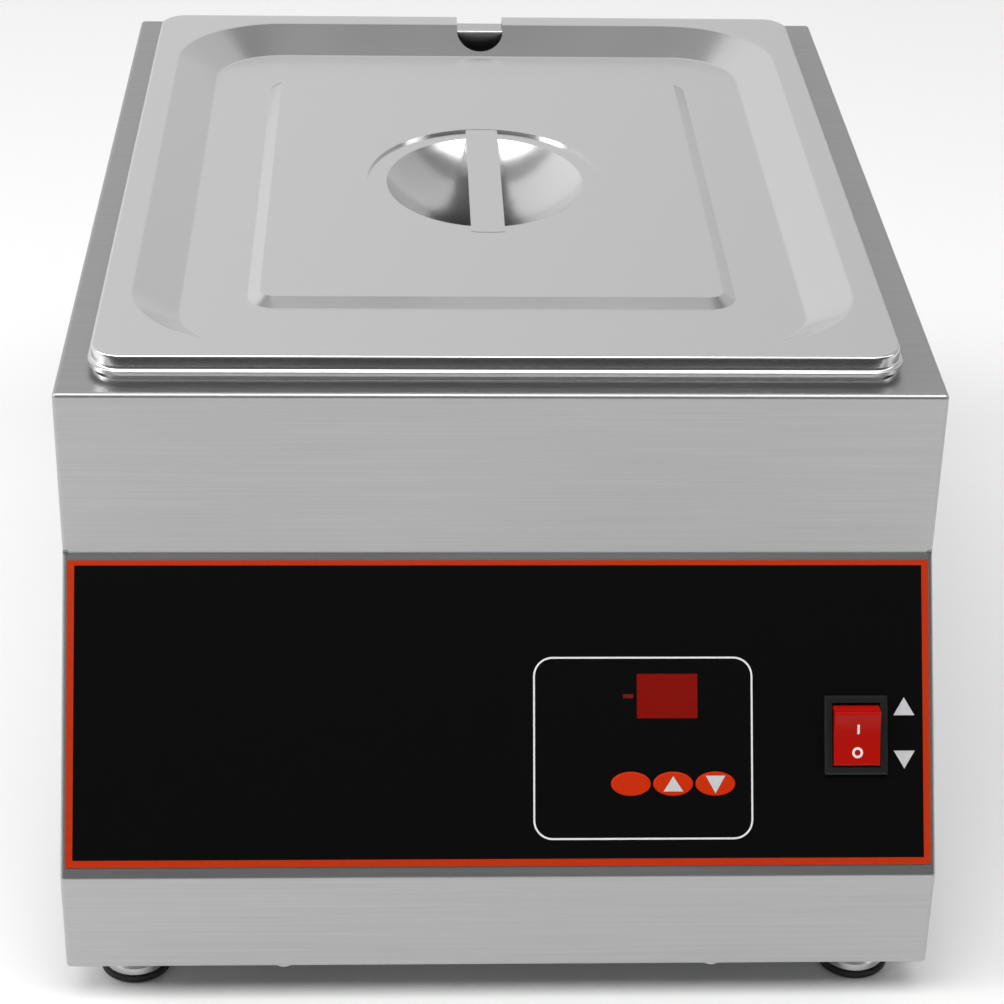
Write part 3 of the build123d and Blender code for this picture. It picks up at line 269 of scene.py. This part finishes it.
def flat_shape(name, points, place, material, body="housing"):
    """A printed flat shape with straight sides."""
    bm = bmesh.new()
    bm.faces.new([bm.verts.new((x, y, 0.0)) for x, y in points])
    raise_flat(bm)
    printed_piece(name, bm, place, material, body)


# Material helpers

def plain_material(name, color, roughness, metallic=0.0, specular=0.5):
    """A Principled material with its main values set."""
    material = bpy.data.materials.new(name)
    material.use_nodes = True
    shader = material.node_tree.nodes["Principled BSDF"]
    shader.inputs["Base Color"].default_value = (*color, 1.0)
    shader.inputs["Roughness"].default_value = roughness
    shader.inputs["Metallic"].default_value = metallic
    shader.inputs["Specular IOR Level"].default_value = specular
    return material


def link_noise(tree, scale, detail=4.0, stretch=(1.0, 1.0, 1.0), roughness=0.5):
    """Noise over Object coordinates, drawn out along the axes with a small stretch factor."""
    coordinates = tree.nodes.new("ShaderNodeTexCoord")
    mapping = tree.nodes.new("ShaderNodeMapping")
    mapping.inputs["Scale"].default_value = stretch
    noise = tree.nodes.new("ShaderNodeTexNoise")
    noise.inputs["Scale"].default_value = scale
    noise.inputs["Detail"].default_value = detail
    noise.inputs["Roughness"].default_value = roughness
    tree.links.new(coordinates.outputs["Object"], mapping.inputs["Vector"])
    tree.links.new(mapping.outputs["Vector"], noise.inputs["Vector"])
    return noise.outputs["Fac"]


def spread(tree, value, low, high, from_low=0.35, from_high=0.65):
    """Maps a noise's middle range to another range."""
    ramp = tree.nodes.new("ShaderNodeMapRange")
    ramp.inputs["From Min"].default_value = from_low
    ramp.inputs["From Max"].default_value = from_high
    ramp.inputs["To Min"].default_value = low
    ramp.inputs["To Max"].default_value = high
    tree.links.new(value, ramp.inputs["Value"])
    return ramp.outputs["Result"]


def tint_between(tree, value, dark, light):
    """A colour between two, by a value from 0 to 1."""
    mix = tree.nodes.new("ShaderNodeMix")
    mix.data_type = "RGBA"
    mix.inputs["A"].default_value = (*dark, 1.0)
    mix.inputs["B"].default_value = (*light, 1.0)
    tree.links.new(value, mix.inputs["Factor"])
    return mix.outputs["Result"]


def bump(tree, value, strength, distance):
    """Sends a height to the shader's normal."""
    node = tree.nodes.new("ShaderNodeBump")
    node.inputs["Strength"].default_value = strength
    node.inputs["Distance"].default_value = distance
    tree.links.new(value, node.inputs["Height"])
    tree.links.new(node.outputs["Normal"], tree.nodes["Principled BSDF"].inputs["Normal"])


def brushed_steel(name, tone, roughness, grain=1500.0):
    """Brushed stainless steel: fine lines drawn sideways, or along the sides, and slow clouding."""
    material = plain_material(name, (tone, tone, tone * 1.005), roughness, metallic=1.0)
    tree = material.node_tree
    shader = tree.nodes["Principled BSDF"]
    drawn_out = 0.008
    across = link_noise(tree, grain, detail=3.0, stretch=(drawn_out, 1.0, 1.0), roughness=0.7)
    along = link_noise(tree, grain, detail=3.0, stretch=(1.0, drawn_out, 1.0), roughness=0.7)
    surface = tree.nodes.new("ShaderNodeNewGeometry")
    axes = tree.nodes.new("ShaderNodeSeparateXYZ")
    sideways = tree.nodes.new("ShaderNodeMath")
    sideways.operation = "ABSOLUTE"
    chosen = tree.nodes.new("ShaderNodeMix")
    tree.links.new(surface.outputs["Normal"], axes.inputs["Vector"])
    tree.links.new(axes.outputs["X"], sideways.inputs[0])
    facing = spread(tree, sideways.outputs["Value"], 0.0, 1.0, from_low=0.6, from_high=0.8)
    tree.links.new(facing, chosen.inputs["Factor"])
    tree.links.new(across, chosen.inputs["A"])
    tree.links.new(along, chosen.inputs["B"])
    lines = chosen.outputs["Result"]
    clouds = link_noise(tree, 7.0, detail=2.0)
    dark = (tone * 0.95, tone * 0.95, tone * 0.955)
    light = (tone * 1.04, tone * 1.04, tone * 1.045)
    colour = tint_between(tree, spread(tree, lines, 0.0, 1.0), dark, light)
    tree.links.new(colour, shader.inputs["Base Color"])
    clouded = spread(tree, clouds, roughness * 0.9, roughness * 1.1, from_low=0.0, from_high=1.0)
    tree.links.new(clouded, shader.inputs["Roughness"])
    bump(tree, lines, strength=0.12, distance=0.012 * MM)
    return material


def satin_steel(name, tone, roughness):
    """Drawn sheet with a satin finish and no visible grain."""
    material = plain_material(name, (tone, tone, tone * 1.005), roughness, metallic=1.0)
    tree = material.node_tree
    shader = tree.nodes["Principled BSDF"]
    clouds = link_noise(tree, 14.0, detail=3.0)
    fine = link_noise(tree, 900.0, detail=2.0)
    clouded = spread(tree, clouds, roughness * 0.85, roughness * 1.2, from_low=0.0, from_high=1.0)
    tree.links.new(clouded, shader.inputs["Roughness"])
    bump(tree, fine, strength=0.08, distance=0.01 * MM)
    return material


def moulded_plastic(name, color, roughness, texture=0.15, specular=0.5):
    """Moulded plastic with a fine even texture."""
    material = plain_material(name, color, roughness, specular=specular)
    tree = material.node_tree
    grain = link_noise(tree, 2200.0, detail=2.0)
    tree.links.new(spread(tree, grain, roughness * 0.9, roughness * 1.15),
                   tree.nodes["Principled BSDF"].inputs["Roughness"])
    bump(tree, grain, strength=texture, distance=0.02 * MM)
    return material


def printed_ink(name, color):
    """Screen-printed ink with a slight mottle."""
    material = plain_material(name, color, 0.4, specular=0.2)
    tree = material.node_tree
    mottle = spread(tree, link_noise(tree, 700.0, detail=2.0), 0.0, 1.0)
    dark = tuple(c * 0.93 for c in color)
    tree.links.new(tint_between(tree, mottle, dark, color),
                   tree.nodes["Principled BSDF"].inputs["Base Color"])
    return material


def paint(material, *names):
    """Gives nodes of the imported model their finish."""
    for name in names:
        mesh = nodes[name].data
        mesh.materials.clear()
        mesh.materials.append(material)


# Finishes of the machine's own pieces

def finish_steelwork():
    """Casing, covers, tank, pan, lid and fasteners."""
    paint(brushed_steel("casing_brushed", tone=0.455, roughness=0.40), "casing", "rear_cover")
    paint(brushed_steel("base_brushed", tone=0.52, roughness=0.42), "base_plate")
    paint(satin_steel("lid_satin", tone=0.80, roughness=0.20), "pan_lid", "lid_strap")
    paint(satin_steel("pan_satin", tone=0.70, roughness=0.24), "food_pan")
    paint(satin_steel("tank_satin", tone=0.60, roughness=0.30), "water_tank")
    paint(satin_steel("fastener_steel", tone=0.60, roughness=0.28),
          "rear_cover_screws", "base_plate_screws", "foot_bolts", "foot_nuts", "cutout_studs",
          "cutout_nuts", "board_studs", "board_nuts", "inlet_screws", "inlet_nuts",
          "terminal_screws", "earth_stud", "earth_nut", "element_clips")
    paint(satin_steel("foot_cup_bright", tone=0.72, roughness=0.12), "foot_cups")
    paint(satin_steel("element_sheath", tone=0.42, roughness=0.35),
          "heating_element", "temperature_probe")


def finish_inner_pieces():
    """Fittings, board, leads and the other pieces inside."""
    paint(plain_material("fitting_brass", (0.70, 0.52, 0.24), 0.28, metallic=1.0),
          "element_fittings", "element_nuts", "probe_gland", "probe_nut", "inlet_pins",
          "switch_blades", "lead_terminals")
    paint(moulded_plastic("foot_rubber", (0.018, 0.018, 0.018), 0.65), "foot_pads")
    paint(moulded_plastic("gasket_silicone", (0.42, 0.07, 0.03), 0.5), "tank_gaskets")
    paint(moulded_plastic("wrap_fibre", (0.72, 0.70, 0.62), 0.9, texture=0.8), "tank_wrap")
    paint(moulded_plastic("cutout_phenolic", (0.035, 0.025, 0.02), 0.45), "overheat_cutout")
    paint(moulded_plastic("board_laminate", (0.02, 0.13, 0.05), 0.35), "control_board")
    paint(moulded_plastic("black_nylon", (0.02, 0.02, 0.021), 0.42),
          "display_block", "tact_switches", "board_relay", "inlet_socket", "lead_clips")
    paint(moulded_plastic("natural_nylon", (0.78, 0.77, 0.72), 0.4),
          "board_spacers", "board_terminals", "terminal_block", "plunger_set", "plunger_up",
          "plunger_down")
    paint(moulded_plastic("transformer_tape", (0.55, 0.36, 0.04), 0.4), "board_transformer")
    paint(moulded_plastic("lead_sleeving", (0.62, 0.60, 0.55), 0.5),
          "mains_leads", "switch_leads", "heater_leads", "probe_lead")


def finish_controls():
    """Film, display, keys and switch."""
    film = (0.0026, 0.0026, 0.0029)
    display = (0.21, 0.0045, 0.002)
    key = (0.53, 0.024, 0.0008)
    bezel = (0.010, 0.011, 0.011)
    paint(moulded_plastic("film_black", film, 0.35, texture=0.05, specular=0.1), "panel_film")
    paint(moulded_plastic("display_tint", display, 0.30, texture=0.05, specular=0.15),
          "display_filter")
    paint(moulded_plastic("key_orange", key, 0.42, texture=0.05, specular=0.12),
          "key_set", "key_up", "key_down")
    paint(moulded_plastic("bezel_black", bezel, 0.38, texture=0.15, specular=0.35),
          "switch_housing")
    paint(plain_material("rocker_red", (0.40, 0.006, 0.003), 0.16, specular=0.16),
          "switch_rocker")


# Printed marks

def rocker_mark(name, bm, x, y, material):
    """Lays a flat mark on the rocker's dished face."""
    bmesh.ops.translate(bm, vec=(x, y, rocker_face_h + rocker_dish_r), verts=bm.verts)
    for vert in bm.verts:
        vert.co.z -= (rocker_dish_r ** 2 - vert.co.y ** 2) ** 0.5
    place = panel_place(*pivot_place) @ Matrix.Rotation(rocker_tilt, 4, "X")
    printed_piece(name, bm, place, material, "rocker")


def make_rocker_marks(white):
    """The on and off marks."""
    bar_w, bar_l = 0.75 * MM, 3.2 * MM
    ring_r, ring_line = 1.8 * MM, 0.8 * MM
    bm = bmesh.new()
    bmesh.ops.create_grid(bm, x_segments=1, y_segments=6, size=0.5)
    bmesh.ops.scale(bm, vec=(bar_w, bar_l, 1.0), verts=bm.verts)
    raise_flat(bm)
    rocker_mark("print_on", bm, 0.35 * MM, 3.2 * MM, white)
    bm = bmesh.new()
    bmesh.ops.create_circle(bm, cap_ends=True, radius=ring_r, segments=48)
    bmesh.ops.inset_region(bm, faces=bm.faces[:], thickness=ring_line, use_boundary=True,
                           use_even_offset=True)
    middle = max(bm.faces, key=lambda f: len(f.verts))
    bmesh.ops.delete(bm, geom=[middle], context="FACES")
    raise_flat(bm)
    rocker_mark("print_off", bm, 0.2 * MM, -4.65 * MM, white)


def make_film_lines(white):
    """The film's orange border, thinner along its top, and the white line round the controls."""
    orange = printed_ink("print_orange", (0.48, 0.029, 0.0025))
    flat_frame("print_border", film_w, film_l, 0.0, border_line,
               panel_place(0.0, film_top + film_l / 2, film_t), orange, border_top_line)
    flat_frame("print_controls_line", *controls_frame, controls_line,
               panel_place(*controls_centre, film_t), white)


def make_marks():
    """The minus sign of the display and the triangles of the switch and the keys."""
    grey = printed_ink("print_grey", (0.56, 0.56, 0.57))
    red = printed_ink("print_red", (0.14, 0.006, 0.004))
    half_w, half_l = 1.72 * MM, 0.7 * MM
    bar = [(-half_w, -half_l), (half_w, -half_l), (half_w, half_l), (-half_w, half_l)]
    flat_shape("print_minus", bar, panel_place(*minus_centre, film_t), red)
    side, half_l = 3.5 * MM, 2.95 * MM
    up = [(-side, -half_l), (side, -half_l), (0.0, half_l)]
    down = [(x, -y) for x, y in reversed(up)]
    flat_shape("print_switch_up", up, panel_place(*switch_up_centre, film_t), grey)
    flat_shape("print_switch_down", down, panel_place(*switch_down_centre, film_t), grey)
    side, up_half_l, down_half_l = 3.25 * MM, 2.5 * MM, 2.9 * MM
    up = [(-side, -up_half_l), (side, -up_half_l), (0.0, up_half_l)]
    down = [(-side, down_half_l), (0.0, -down_half_l), (side, down_half_l)]
    flat_shape("print_key_up", up, panel_place(*key_up_centre, key_top), grey, "up_key")
    flat_shape("print_key_down", down, panel_place(*key_down_centre, key_top), grey, "down_key")


def make_prints():
    """Everything that is printed on the film, the keys and the rocker."""
    white = printed_ink("print_white", (0.75, 0.75, 0.76))
    make_film_lines(white)
    make_marks()
    make_rocker_marks(white)


make_camera()
finish_steelwork()
finish_inner_pieces()
finish_controls()
make_prints()
make_studio()
